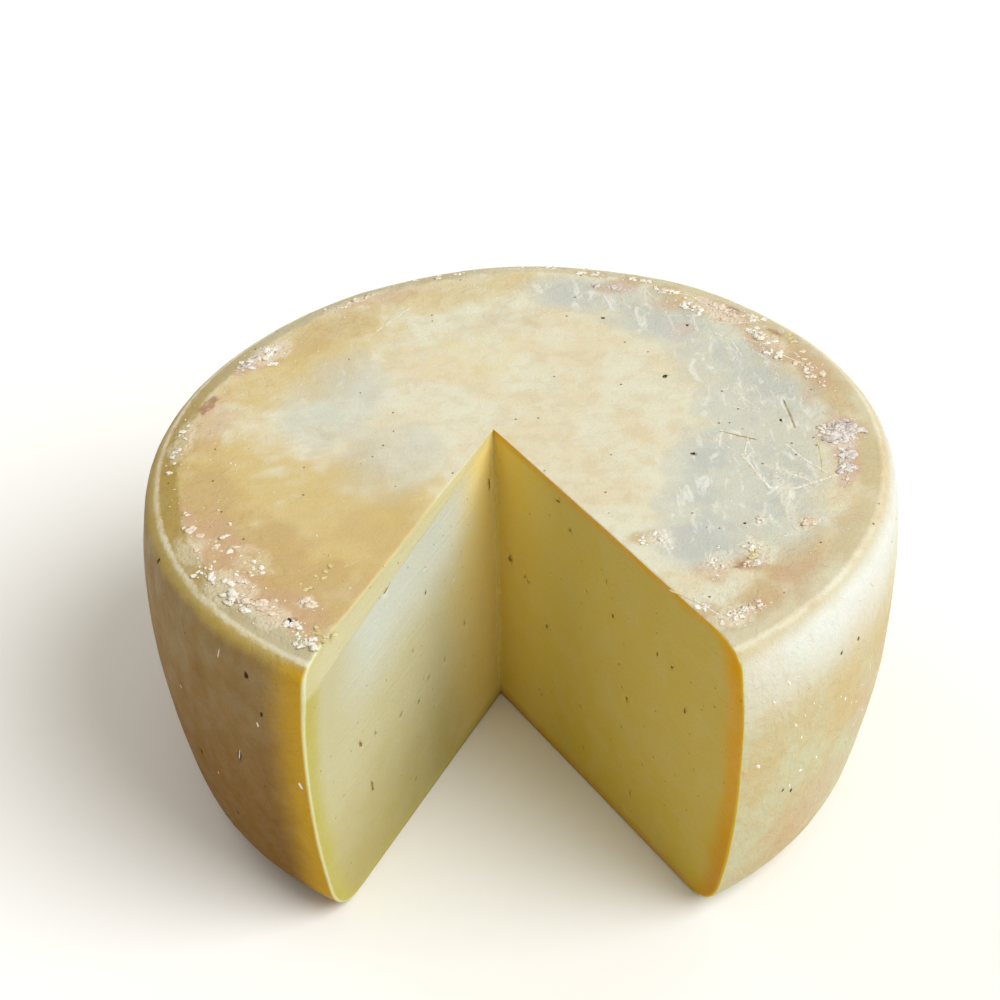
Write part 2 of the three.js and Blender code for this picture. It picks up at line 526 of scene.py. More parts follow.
# Scrapes: thin raised lines on the top, (finish, width, then the places that they pass)
scrapes = [
    ("chalk", 2.0, (-9, 0.583), (-16, 0.625), (-21, 0.669), (-20, 0.735), (-16, 0.80), (-13, 0.85)),
    ("chalk", 1.3, (-5, 0.70), (-10, 0.74), (-14, 0.80)),
    ("straw", 0.9, (-4, 0.78), (-9, 0.785), (-14, 0.79)),
    ("chalk", 1.1, (-2, 0.60), (-8, 0.59), (-14, 0.61), (-18, 0.65)),
    ("chalk", 0.8, (-15, 0.70), (-17, 0.76)),
    ("chalk", 0.9, (30, 0.74), (36, 0.77), (42, 0.76)), ("rose", 0.8, (18, 0.76), (24, 0.79), (30, 0.78)),
    ("chalk", 0.8, (46, 0.86), (52, 0.88), (58, 0.87)),
    ("chalk", 0.7, (19, 0.62), (14, 0.64), (9, 0.66)), ("chalk", 0.6, (12, 0.60), (8, 0.66)),
    ("chalk", 0.7, (1, 0.50), (-6, 0.55), (-10, 0.60)), ("chalk", 0.8, (44, 0.80), (40, 0.83), (38, 0.87)),
    ("chalk", 0.6, (35, 0.80), (31, 0.82)), ("chalk", 0.7, (26, 0.83), (21, 0.86)),
    ("chalk", 0.6, (28, 0.78), (22, 0.79)), ("chalk", 0.9, (-60, 0.76), (-59, 0.85)),
    ("straw", 0.7, (-62, 0.70), (-60, 0.78)), ("chalk", 1.0, (-50, 0.505), (-52.5, 0.575)),
    ("rose", 0.8, (-36, 0.76), (-33, 0.79)), ("chalk", 0.7, (52, 0.76), (47, 0.80)),
    ("straw", 0.8, (-134, 0.56), (-136, 0.63)), ("chalk", 0.6, (120, 0.72), (110, 0.78)),
]

# Where the ripening has coloured the rind; the amber patch at bearing -171 is partly painted shade. Each
# patch is (bearing, share of the radius, or height for the side, half-length outwards, half-length round,
# turn, strength), in degrees and millimetres.
topPatches = dict(
    bloom=[(70, 0.78, 11, 26, 0, 0.8), (50, 0.72, 12, 24, 10, 0.7), (28, 0.68, 16, 26, 0, 0.8),
           (8, 0.66, 20, 28, 0, 0.9), (-14, 0.60, 24, 28, 10, 0.95), (-30, 0.62, 24, 24, 0, 0.9),
           (-43, 0.60, 15, 18, 0, 0.9), (150, 0.55, 18, 30, 20, 0.35), (-178, 0.35, 20, 24, 0, 0.25)],
    blush=[(46, 0.72, 4, 4, 0, 0.6), (66, 0.86, 4, 7, 0, 0.8), (54, 0.80, 4, 7, 0, 0.6),
           (42, 0.86, 4, 9, 0, 0.8), (31, 0.83, 5, 10, 0, 0.8), (22, 0.90, 4, 14, 0, 0.6),
           (10, 0.80, 3, 6, 0, 0.5), (-52, 0.72, 7, 6, 0, 0.7), (-44, 0.88, 8, 14, 0, 0.7),
           (-135, 0.84, 9, 14, 0, 0.8), (112, 0.86, 6, 14, 0, 0.7), (165, 0.83, 7, 16, 0, 0.6)],
    amber=[(30, 0.87, 7, 24, 0, 0.9), (22, 0.78, 7, 12, 20, 0.6), (12, 0.87, 8, 20, 0, 0.9),
           (-8, 0.91, 5, 22, 0, 0.9), (-26, 0.90, 6, 18, 0, 0.8), (-40, 0.85, 9, 18, 0, 0.9),
           # the patch at bearing -171 is partly painted shade
           (-51, 0.86, 8, 12, 0, 0.9), (-148, 0.76, 16, 34, 0, 1.0), (-171, 0.82, 11, 26, 0, 0.9),
           (-129, 0.72, 18, 15, 0, 0.75), (-135, 0.42, 22, 18, 0, 0.45), (128, 0.80, 9, 24, 0, 0.6),
           (92, 0.62, 10, 18, 0, 0.35)],
    honey=[(-148, 0.62, 42, 50, 0, 1.0), (-174, 0.80, 20, 36, 0, 1.0), (-130, 0.55, 34, 24, 0, 0.9),
           (140, 0.74, 22, 40, 0, 0.7), (100, 0.80, 10, 40, 0, 0.5)],
    lilac=[(-3, 0.843, 5, 10, 0, 1.0), (-14, 0.85, 3, 9, 0, 0.8), (66, 0.84, 3, 8, 0, 0.6),
           (46, 0.70, 5, 5, 0, 0.8), (142, 0.86, 5, 11, 0, 0.7)],
    chalk=[(84, 0.92, 2.5, 14, 0, 0.8), (45, 0.86, 5, 13, 0, 1.0), (31, 0.85, 4, 12, 0, 0.7),
           (-3, 0.84, 5, 9, 0, 0.8), (-24, 0.72, 3, 16, 28, 0.8), (-15, 0.70, 2, 16, 68, 0.7),
           (-52, 0.53, 5, 5, 0, 0.8), (-50, 0.70, 5, 9, 30, 0.8), (-41, 0.74, 7, 5, 0, 1.0),
           (-33, 0.69, 3, 3, 0, 0.9), (-29, 0.80, 3, 5, 0, 1.0), (-57, 0.86, 5, 7, 0, 1.0),
           (-136, 0.88, 5, 10, 0, 1.0), (-146, 0.88, 7, 10, 0, 1.0), (-158, 0.91, 4, 9, 0, 0.8),
           (-134, 0.79, 4, 3, 0, 0.9), (-150, 0.79, 6, 10, 0, 0.6), (118, 0.90, 3, 14, 0, 0.9),
           (140, 0.86, 6, 9, 0, 0.9), (171, 0.90, 4, 14, 0, 0.9)],
    straw=[(-41, 0.73, 7, 6, 0, 0.7), (38, 0.91, 5, 8, 0, 0.6), (-14, 0.80, 5, 7, 0, 0.4),
           (-139, 0.34, 18, 16, 0, 0.6), (100, 0.45, 24, 22, 0, 0.35)],
    rust=[(43, 0.885, 2.4, 4.5, 0, 1.0), (33, 0.89, 2, 4, 0, 0.8), (-47, 0.745, 1.8, 2.4, 0, 0.9),
          (-132, 0.864, 1.5, 2.5, 0, 0.9), (160, 0.88, 2, 5, 0, 0.8)],
)
sidePatches = dict(
    blush=[(-20, 55, 22, 40, 0, 0.5), (-44, 30, 16, 22, 0, 0.6), (40, 60, 20, 40, 20, 0.5),
           (175, 50, 26, 30, 0, 0.5)],
    chalk=[(-12, 92, 16, 30, 0, 0.55), (18, 96, 14, 34, 0, 0.5), (95, 80, 20, 30, 0, 0.5)],
    amber=[(-150, 60, 44, 60, 0, 0.75), (-172, 46, 40, 34, 0, 0.5), (-50, 20, 14, 18, 0, 0.4),
           (120, 40, 26, 30, 0, 0.45), (-60, 104, 8, 12, 0, 0.35)],
)
maskNames = ["bloom", "blush", "amber", "honey", "lilac", "chalk", "straw", "rust"]


def smoothStep(value, low, high):
    t = np.clip((value - low) / (high - low), 0, 1)
    return t * t * (3 - 2 * t)


def patchMask(points, warp, place, first, second, turn, strength):
    # 1 inside a soft-edged oval lying on the surface, 0 well outside it
    origin, a, b, normal = place
    away = points - origin
    c, s = math.cos(math.radians(turn)), math.sin(math.radians(turn))
    u, v = away @ a, away @ b
    u, v = u * c + v * s, v * c - u * s
    size = np.sqrt((u / first) ** 2 + (v / second) ** 2 + (away @ normal / (first + second)) ** 2)
    return strength * (1 - smoothStep(size + warp, 0.55, 1.35))


def paintMasks(made):
    # how much of each colour every point of the cheese takes, and how deep under the rind it lies
    data = made.data
    co = np.empty(len(data.vertices) * 3)
    data.vertices.foreach_get("co", co)
    co = co.reshape(-1, 3)
    grain = np.array([noise.fractal(Vector(p) * 95, 0.7, 2.1, 3) for p in co])
    masks = {}
    for name in maskNames:
        total = np.zeros(len(co))
        warp = (0.12 if name == "bloom" else 0.42) * grain          # the bloom has softer edges
        for b, share, first, second, turn, strength in topPatches.get(name, []):
            total = np.maximum(total, patchMask(co, warp, onTop(b, share), first * mm, second * mm,
                                                turn, strength))
        for b, z, first, second, turn, strength in sidePatches.get(name, []):
            total = np.maximum(total, patchMask(co, warp, onSide(b, z * mm), first * mm, second * mm,
                                                turn, strength))
        masks[name] = total
    for finish, b, share, first, second, flakes, size, turn in crusts:      # stained under the crusts
        stain = "blush" if finish in ("rose", "lilac") else "amber"
        spot = patchMask(co, 0.5 * grain, onTop(b, share), (first * 1.3 + 2) * mm, (second * 1.2 + 2) * mm,
                         turn, 0.9)
        masks[stain] = np.maximum(masks[stain], spot)
    thick = thickening(co[:, 0], co[:, 1])
    radius = np.hypot(co[:, 0] - axis[0], co[:, 1] - axis[1])
    flat = co[:, 2] / thick
    profile = np.stack([radius, flat], 1)
    gap, where = distanceToLine(profile, outline)
    masks["rimTravel"] = np.interp(where, np.arange(len(outline)), fromRim) / mm
    onFlat = (flat > wheel["rimHeight"] - 2 * mm) & (radius < wheel["topRadius"])
    masks["rimTravel"][onFlat] = (radius[onFlat] - wheel["topRadius"]) / mm + fromRim[0] / mm
    lower = outline[::-1]
    sideRadius = np.interp(flat, lower[:, 1], lower[:, 0])
    masks["sideDepth"] = (sideRadius - radius) / mm
    masks["topDepth"] = (wheel["height"] - flat) / mm
    masks["edgeDepth"] = np.where(radius > wheel["baseRadius"] - 20 * mm, gap, 1) / mm
    along = co[:, :2] - notch["apex"]
    masks["apexReach"] = np.hypot(along[:, 0], along[:, 1]) / mm
    masks["rightHalf"] = (along[:, 0] > 0).astype(float)
    reachHere = reach(-notch["halfAngle"], wheel["radius"])
    k = np.clip(np.hypot(along[:, 0], along[:, 1]) / reachHere, 0, 1)
    near, far = notch["facetWidth"]
    crease = near + (far - near) * k ** 1.3
    masks["underCrease"] = np.where(along[:, 0] < 0, wheel["height"] * thick - co[:, 2] - crease, 1) / mm
    for side, name in ((1, "fromRightCut"), (-1, "fromLeftCut")):
        normal = onCut(side, 0, 50 * mm)[3][:2]
        ownHalf = (side * along[:, 0] > 0) & (along[:, 1] < 20 * mm)
        masks[name] = np.where(ownHalf, -(along @ normal), 1) / mm
    for name, values in masks.items():
        stored = data.attributes.new(name, "FLOAT", "POINT")
        stored.data.foreach_set("value", values.astype(np.float32))


# Shader helpers
def paint(*tones):
    # a linear colour from tones of 0 to 255
    return [((c / 255 + 0.055) / 1.055) ** 2.4 if c > 10 else c / 255 / 12.92 for c in tones] + [1]


def feed(tree, made, inputs):
    for key, value in inputs.items():
        if isinstance(value, bpy.types.NodeSocket):
            tree.links.new(value, made.inputs[key])
        else:
            made.inputs[key].default_value = value


def addNode(tree, kind, inputs=None, **settings):
    made = tree.nodes.new("ShaderNode" + kind)
    for key, value in settings.items():
        setattr(made, key, value)
    feed(tree, made, inputs or {})
    return made


def noiseOf(tree, where, scale, detail=4, rough=0.55, warp=0):
    return addNode(tree, "TexNoise", {"Vector": where, "Scale": scale, "Detail": detail, "Roughness": rough,
                                      "Distortion": warp}).outputs["Fac"]


def ramp(tree, value, low, high, toLow=0.0, toHigh=1.0):
    return addNode(tree, "MapRange", {"Value": value, "From Min": low, "From Max": high, "To Min": toLow,
                                      "To Max": toHigh}, interpolation_type="SMOOTHSTEP").outputs[0]


def maths(tree, operation, a, b=0.0):
    return addNode(tree, "Math", {0: a, 1: b}, operation=operation).outputs[0]


def times(tree, total, *others):
    for other in others:
        total = maths(tree, "MULTIPLY", total, other)
    return total


def plus(tree, total, *others):
    for other in others:
        total = maths(tree, "ADD", total, other)
    return total


def centred(tree, value, size):
    # a value from 0 to 1 made to swing about 0
    return times(tree, maths(tree, "SUBTRACT", value, 0.5), size)


def mixColour(tree, factor, a, b):
    return addNode(tree, "Mix", {0: factor, 6: a, 7: b}, data_type="RGBA").outputs[2]


def layer(tree, name):
    return addNode(tree, "Attribute", attribute_name=name).outputs["Fac"]


def placeOf(tree):
    return addNode(tree, "TexCoord").outputs["Object"]


def stretched(tree, where, scale, turn=(0, 0, 0)):
    return addNode(tree, "Mapping", {"Vector": where, "Scale": scale, "Rotation": turn}).outputs[0]


def newGroup(name, result, **inputs):
    group = bpy.data.node_groups.new(name, "ShaderNodeTree")
    group.interface.new_socket("Where", in_out="INPUT", socket_type="NodeSocketVector")
    for label, value in inputs.items():
        socket = group.interface.new_socket(label, in_out="INPUT", socket_type="NodeSocketFloat")
        socket.default_value = value
    group.interface.new_socket(result, in_out="OUTPUT", socket_type="NodeSocketFloat")
    given = group.nodes.new("NodeGroupInput").outputs
    return group, given, group.nodes.new("NodeGroupOutput").inputs[result]


def useGroup(tree, group, **inputs):
    made = tree.nodes.new("ShaderNodeGroup")
    made.node_tree = group
    feed(tree, made, inputs)
    return made.outputs[0]


def raggedGroup():
    # gives a soft mask a broken, blotchy edge
    group, given, result = newGroup("raggedEdge", "Mask", Mask=0.0, Fineness=200.0, Spread=0.6, Softness=0.15)
    speckle = noiseOf(group, given["Where"], given["Fineness"], 5, 0.62)
    shifted = plus(group, given["Mask"], centred(group, speckle, given["Spread"]))
    lowEdge = maths(group, "SUBTRACT", 0.5, given["Softness"])
    highEdge = maths(group, "ADD", 0.5, given["Softness"])
    edge = ramp(group, shifted, lowEdge, highEdge)
    anything = ramp(group, given["Mask"], 0.01, 0.12)
    group.links.new(times(group, edge, anything), result)
    return group


def mottleGroup():
    # slow blotches with finer ones in them, from 0 to 1
    group, given, result = newGroup("mottle", "Mask", Fineness=40.0, Low=0.38, High=0.64)
    broad = noiseOf(group, given["Where"], given["Fineness"], 3, 0.5, 0.4)
    fine = noiseOf(group, given["Where"], times(group, given["Fineness"], 5.3), 4, 0.6)
    both = plus(group, times(group, broad, 0.72), times(group, fine, 0.28))
    group.links.new(ramp(group, both, given["Low"], given["High"]), result)
    return group


def poreGroup():
    # tiny scattered holes
    group, given, result = newGroup("pores", "Mask", Fineness=300.0, Size=0.22, Share=0.35)
    cells = addNode(group, "TexVoronoi", {"Vector": given["Where"], "Scale": given["Fineness"]})
    hole = ramp(group, cells.outputs["Distance"], given["Size"], times(group, given["Size"], 0.45))
    chance = addNode(group, "SeparateColor", {0: cells.outputs["Color"]}).outputs[0]
    kept = maths(group, "LESS_THAN", chance, given["Share"])
    group.links.new(times(group, hole, kept), result)
    return group


def crumbGroup():
    # a dry, crumbly surface: small rounded grains of uneven height
    group, given, result = newGroup("crumbs", "Height", Fineness=700.0)
    cells = addNode(group, "TexVoronoi", {"Vector": given["Where"], "Scale": given["Fineness"]},
                    feature="SMOOTH_F1")
    grains = ramp(group, cells.outputs["Distance"], 0.75, 0.1)
    broad = noiseOf(group, given["Where"], times(group, given["Fineness"], 0.4), 3, 0.6)
    group.links.new(times(group, grains, broad), result)
    return group


ragged, mottle, pores, crumbs = raggedGroup(), mottleGroup(), poreGroup(), crumbGroup()


def newMaterial(name, **fixed):
    made = bpy.data.materials.new(name)
    made.use_nodes = True
    shader = made.node_tree.nodes["Principled BSDF"]
    for key, value in fixed.items():
        shader.inputs[key.replace("_", " ")].default_value = value
    return made, made.node_tree, shader


def bumpFrom(tree, height, distance, under=None):
    inputs = {"Height": height, "Distance": distance}
    if under is not None:
        inputs["Normal"] = under
    return addNode(tree, "Bump", inputs).outputs["Normal"]


def rindMaterial():
    look = dict(
        cream=(216, 214, 192), peach=(214, 197, 160), sideCream=(192, 188, 152), sidePeach=(194, 170, 118),
        paleLitUpper=(220, 223, 218), bloom=(181, 185, 180), bloomPale=(204, 205, 190), veilAndGlint=(232, 231, 222),
        blush=(194, 160, 130), amber=(186, 157, 106), honey=(200, 174, 106), lilac=(208, 194, 190),
        chalk=(240, 234, 214), straw=(216, 203, 152), rust=(142, 88, 62), ledge=(184, 175, 142),
        leftLedge=(164, 138, 62), crest=(222, 217, 192), crease=(184, 160, 84), brown=(121, 84, 10),
        gold=(203, 158, 10), cutLine=(214, 216, 164), base=(206, 182, 130), pore=(120, 88, 52),
    )
    made, tree, shader = newMaterial("rindOfCheese", Subsurface_Weight=0.12, Subsurface_Scale=0.004,
                                     Subsurface_Radius=(1.0, 0.55, 0.2), Specular_IOR_Level=0.13)
    tone = {name: paint(*value) for name, value in look.items()}
    where = placeOf(tree)
    travel = layer(tree, "rimTravel")             # millimetres outwards and down from the rim's crest
    wavy = centred(tree, noiseOf(tree, where, 90, 4, 0.6), 7.0)
    fineWavy = centred(tree, noiseOf(tree, where, 420, 3, 0.6), 2.4)
    travelWavy = plus(tree, travel, wavy)
    travelFine = plus(tree, travel, fineWavy)

    def over(colour, name, mask, amount):
        return mixColour(tree, times(tree, mask, amount), colour, tone[name])

    def patch(colour, name, fineness, spread, softness, amount, mask=None):
        mask = layer(tree, name) if mask is None else mask
        edge = useGroup(tree, ragged, Where=where, Mask=mask, Fineness=fineness, Spread=spread,
                        Softness=softness)
        return over(colour, name, edge, amount), edge

    blotch = useGroup(tree, mottle, Where=where, Fineness=30, Low=0.40, High=0.62)
    freckle = useGroup(tree, mottle, Where=where, Fineness=150, Low=0.46, High=0.60)
    colour = mixColour(tree, times(tree, blotch, 0.60), tone["cream"], tone["peach"])
    onSideMask = ramp(tree, travel, 1.0, 4.5)
    sideColour = mixColour(tree, times(tree, blotch, 0.75), tone["sideCream"], tone["sidePeach"])
    colour = mixColour(tree, onSideMask, colour, sideColour)
    colour = over(colour, "amber", freckle, 0.16)
    colour, _ = patch(colour, "straw", 120, 0.7, 0.35, 0.8)
    colour, _ = patch(colour, "honey", 60, 0.9, 0.8, 0.85)
    colour, _ = patch(colour, "amber", 110, 0.8, 0.6, 0.65)
    colour, _ = patch(colour, "bloomPale", 45, 0.9, 0.8, 0.8, layer(tree, "bloom"))
    clouds = useGroup(tree, mottle, Where=where, Fineness=38, Low=0.38, High=0.62)
    greyer = times(tree, layer(tree, "bloom"), ramp(tree, clouds, 0, 1, 0.28, 1.0))
    colour, _ = patch(colour, "bloom", 90, 0.6, 0.95, 0.95, greyer)
    # pale streaks over the grey bloom: partly its own colour, partly painted highlight
    streaks = noiseOf(tree, stretched(tree, where, (260, 90, 90), (0, 0, 0.5)), 1, 5, 0.66, 0.8)
    veilAndGlint = times(tree, ramp(tree, streaks, 0.52, 0.66), ramp(tree, layer(tree, "bloom"), 0.1, 0.7))
    colour = over(colour, "veilAndGlint", veilAndGlint, 0.6)
    colour, _ = patch(colour, "blush", 150, 1.1, 0.6, 0.66)

    # the left side is painted browner, partly rind colour and partly painted shade, more so towards the
    # bottom; the upper side on the right, facing the light, is painted whitish, partly as painted light
    x, y, z = addNode(tree, "SeparateXYZ", {0: where}).outputs
    leftward = plus(tree, times(tree, x, -1.0), times(tree, y, -0.35))
    leftWavy = plus(tree, leftward, times(tree, wavy, 0.006))
    shoulder = times(tree, ramp(tree, travelWavy, 42, 5), ramp(tree, leftWavy, 0.03, -0.06), onSideMask)
    colour = over(colour, "paleLitUpper", shoulder, 0.85)
    low = ramp(tree, z, 0.115, 0.01)
    brownAndShade = times(tree, ramp(tree, leftWavy, 0.0, 0.10), onSideMask, ramp(tree, low, 0, 1, 0.72, 1.1))
    colour, _ = patch(colour, "brown", 60, 0.6, 0.7, 1.0, brownAndShade)

    # the flat ledge inside the rim, its crest and the crease under it; the crease is painted darker, more on
    # the left side, partly its own tint and partly painted shade
    ledgeMask = times(tree, ramp(tree, travelWavy, -8.0, -6.0), ramp(tree, travelFine, 0.6, -1.0))
    ledgeTone = mixColour(tree, ramp(tree, x, -0.085, -0.120), tone["ledge"], tone["leftLedge"])
    ledgeShare = ramp(tree, leftWavy, -0.05, 0.06, 0.50, 0.85)
    colour = mixColour(tree, times(tree, ledgeMask, ledgeShare), colour, ledgeTone)
    creaseTintAndShade = times(tree, ramp(tree, travelFine, 0.8, 2.2), ramp(tree, travelWavy, 8.0, 3.0))
    colour = over(colour, "crease", creaseTintAndShade, ramp(tree, leftward, -0.08, 0.08, 0.22, 0.80))
    travelCrisp = plus(tree, travel, times(tree, fineWavy, 0.4))
    crestMask = times(tree, ramp(tree, travelCrisp, -1.0, -0.4), ramp(tree, travelCrisp, 1.0, 0.5))
    crestBreak = ramp(tree, noiseOf(tree, where, 60, 4, 0.6), 0.36, 0.55, 0.25, 1.0)
    crestMask = times(tree, crestMask, crestBreak)
    colour = over(colour, "crest", crestMask, ramp(tree, leftward, -0.10, 0.06, 0.22, 0.48))

    # the rind by the left cut is golden, with a pale line at the very edge
    fromLeft = layer(tree, "fromLeftCut")
    goldMask = times(tree, ramp(tree, plus(tree, fromLeft, wavy), 18, 1.5), onSideMask)
    colour = over(colour, "gold", goldMask, 0.8)
    nearestCut = maths(tree, "MINIMUM", fromLeft, layer(tree, "fromRightCut"))
    cutLine = times(tree, ramp(tree, nearestCut, 1.1, 0.4), onSideMask)
    colour = over(colour, "cutLine", cutLine, 0.62)

    colour, _ = patch(colour, "rust", 420, 1.9, 0.35, 0.62)
    colour, _ = patch(colour, "lilac", 380, 1.3, 0.35, 0.4)
    colour, chalkMask = patch(colour, "chalk", 240, 1.5, 0.38, 0.34)
    colour = over(colour, "base", ramp(tree, travel, 126, 134), 0.7)
    holes = useGroup(tree, pores, Where=where, Fineness=260, Size=0.13, Share=0.10)
    colour = over(colour, "pore", holes, 0.7)
    tree.links.new(colour, shader.inputs["Base Color"])

    rough = ramp(tree, noiseOf(tree, where, 130, 4, 0.6), 0.3, 0.7, 0.46, 0.68)
    rough = maths(tree, "SUBTRACT", rough, times(tree, ledgeMask, 0.10))
    rough = plus(tree, rough, times(tree, chalkMask, 0.25))
    tree.links.new(rough, shader.inputs["Roughness"])

    wrinkles = noiseOf(tree, where, 210, 5, 0.62, 0.6)
    skin = noiseOf(tree, where, 1100, 3, 0.6)
    crumbly = times(tree, useGroup(tree, crumbs, Where=where, Fineness=800), chalkMask)
    scratches = noiseOf(tree, stretched(tree, where, (60, 900, 200), (0, 0, 0.6)), 1, 3, 0.6)
    scuffed = ramp(tree, travel, -50, -14, 0.3, 1.0)
    normal = bumpFrom(tree, times(tree, wrinkles, scuffed), 0.90 * mm)
    normal = bumpFrom(tree, scratches, 0.22 * mm, normal)
    normal = bumpFrom(tree, skin, 0.20 * mm, normal)
    normal = bumpFrom(tree, crumbly, 0.50 * mm, normal)
    normal = bumpFrom(tree, times(tree, holes, -1.0), 0.70 * mm, normal)
    tree.links.new(normal, shader.inputs["Normal"])
    return made


def pasteMaterial():
    look = dict(
        pale=(190, 184, 144), deep=(168, 154, 88), ripeAndShade=(196, 166, 38), band=(213, 154, 0),
        bandLow=(176, 122, 0), bandEdge=(210, 186, 22), heart=(232, 204, 96), leftHeartLit=(250, 226, 134),
        leftBand=(178, 168, 78), leftEdge=(214, 222, 186), facet=(200, 194, 154), sheen=(206, 214, 208),
        footShadow=(134, 104, 34), speck=(166, 140, 62),
    )
    made, tree, shader = newMaterial("pasteOfCheese", Subsurface_Weight=0.35, Subsurface_Scale=0.005,
                                     Subsurface_Radius=(1.0, 0.7, 0.22), Specular_IOR_Level=0.06)
    tone = {name: paint(*value) for name, value in look.items()}
    where = placeOf(tree)
    height = addNode(tree, "SeparateXYZ", {0: where}).outputs[2]
    right = layer(tree, "rightHalf")
    left = maths(tree, "SUBTRACT", 1.0, right)
    reachOut = layer(tree, "apexReach")           # millimetres from the line where the two cuts meet
    wavy = centred(tree, noiseOf(tree, where, 60, 3, 0.5), 5.0)
    reachWavy = plus(tree, reachOut, wavy)

    def over(colour, name, mask, amount):
        return mixColour(tree, times(tree, mask, amount), colour, tone[name])

    def eitherSide(leftName, rightTone):
        return mixColour(tree, right, tone[leftName], rightTone)

    # painted shade, darker towards the apex and towards the base, broken up by a random broad tone
    broad = noiseOf(tree, where, 22, 3, 0.5)
    shadeAndTone = plus(tree, times(tree, ramp(tree, reachOut, 70, 5), 0.12),
                    times(tree, ramp(tree, height, 0.075, 0.0), 0.85), centred(tree, broad, 0.35))
    colour = mixColour(tree, ramp(tree, shadeAndTone, 0.0, 1.1), tone["pale"], tone["deep"])
    # the right cut is painted more mustard: partly its own colour, partly painted shade
    colour = over(colour, "ripeAndShade", right, 0.75)
    # near the apex the paste is yellower; on the left cut it is lighter still, as painted light where the
    # right half shades it
    heart = times(tree, ramp(tree, reachWavy, 52, 4), 0.75)
    colour = mixColour(tree, heart, colour, eitherSide("leftHeartLit", tone["heart"]))

    # the left cut: a cool sheen under the facet along its top
    under = layer(tree, "underCrease")
    sheen = times(tree, ramp(tree, under, -0.8, 2.0), ramp(tree, plus(tree, under, wavy), 46, 10),
                  ramp(tree, reachWavy, 122, 92), ramp(tree, reachOut, 8, 40), left)
    colour = over(colour, "sheen", sheen, 0.7)
    colour = over(colour, "facet", times(tree, ramp(tree, under, 0.6, -0.4), left), 0.75)

    # the riper band under the rind
    band = ramp(tree, plus(tree, layer(tree, "sideDepth"), wavy), 12.5, 2.0)
    topBand = ramp(tree, plus(tree, layer(tree, "topDepth"), times(tree, wavy, 0.4)), 4.2, 0.8)
    baseBand = ramp(tree, plus(tree, height, times(tree, wavy, 0.0003)), 0.006, 0.001)
    bandAll = maths(tree, "MAXIMUM", band, times(tree, maths(tree, "MAXIMUM", topBand, baseBand), 0.7))
    belowFacet = maths(tree, "MAXIMUM", ramp(tree, under, -1, 3), right)
    bandAll = times(tree, bandAll, ramp(tree, belowFacet, 0, 1, 0.25, 0.95))
    lowBand = mixColour(tree, ramp(tree, height, 0.08, 0.0, 0, 0.7), tone["band"], tone["bandLow"])
    colour = mixColour(tree, bandAll, colour, eitherSide("leftBand", lowBand))
    outer = times(tree, ramp(tree, layer(tree, "edgeDepth"), 1.4, 0.5), 0.6)
    colour = mixColour(tree, outer, colour, eitherSide("leftEdge", tone["bandEdge"]))
    # painted contact shadow: a dark line along the foot of the cuts
    colour = over(colour, "footShadow", ramp(tree, height, 0.0016, 0.0002), 0.6)
    specks = useGroup(tree, pores, Where=where, Fineness=330, Size=0.14, Share=0.16)
    colour = over(colour, "speck", specks, 0.55)
    clouds = useGroup(tree, mottle, Where=where, Fineness=75, Low=0.36, High=0.66)
    colour = over(colour, "sheen", clouds, 0.06)
    tree.links.new(colour, shader.inputs["Base Color"])

    rough = ramp(tree, noiseOf(tree, where, 90, 4, 0.6), 0.3, 0.7, 0.42, 0.60)
    tree.links.new(rough, shader.inputs["Roughness"])
    drag = noiseOf(tree, stretched(tree, where, (30, 30, 620)), 1, 4, 0.6)
    grain = noiseOf(tree, where, 900, 4, 0.65)
    normal = bumpFrom(tree, drag, 0.30 * mm)
    normal = bumpFrom(tree, grain, 0.22 * mm, normal)
    normal = bumpFrom(tree, times(tree, specks, -1.0), 0.60 * mm, normal)
    tree.links.new(normal, shader.inputs["Normal"])
    return made


def plainMaterial(name, light, dark, fineness, roughness, depth):
    # one crumbly or waxy finish: two tones, broken up by size
    made, tree, shader = newMaterial(name, Subsurface_Weight=0.15, Subsurface_Scale=0.003,
                                     Subsurface_Radius=(1.0, 0.6, 0.25), Roughness=roughness)
    where = placeOf(tree)
    blotch = useGroup(tree, mottle, Where=where, Fineness=fineness, Low=0.4, High=0.6)
    tree.links.new(mixColour(tree, blotch, paint(*light), paint(*dark)), shader.inputs["Base Color"])
    height = useGroup(tree, crumbs, Where=where, Fineness=fineness * 3)
    tree.links.new(bumpFrom(tree, height, depth), shader.inputs["Normal"])
    return made


rind, paste = rindMaterial(), pasteMaterial()
eyeLining = plainMaterial("eyeLining", (204, 182, 96), (176, 148, 60), 300, 0.45, 0.2 * mm)
pitLining = plainMaterial("pitLining", (134, 104, 62), (96, 72, 44), 400, 0.7, 0.4 * mm)
chalkCrust = plainMaterial("chalkyCrust", (245, 241, 228), (231, 218, 194), 350, 0.85, 0.5 * mm)
roseCrust = plainMaterial("roseCrust", (226, 200, 172), (238, 224, 200), 350, 0.8, 0.5 * mm)
lilacCrust = plainMaterial("lilacCrust", (236, 229, 218), (204, 189, 180), 350, 0.8, 0.5 * mm)
strawCrust = plainMaterial("strawCrust", (224, 208, 156), (206, 182, 122), 300, 0.7, 0.4 * mm)

# The cheese itself
points, faces, kinds = buildBody()
cheese = makeObject("wheel_body", points, faces, [rind, paste], kinds)
print("body:", len(points), "points")

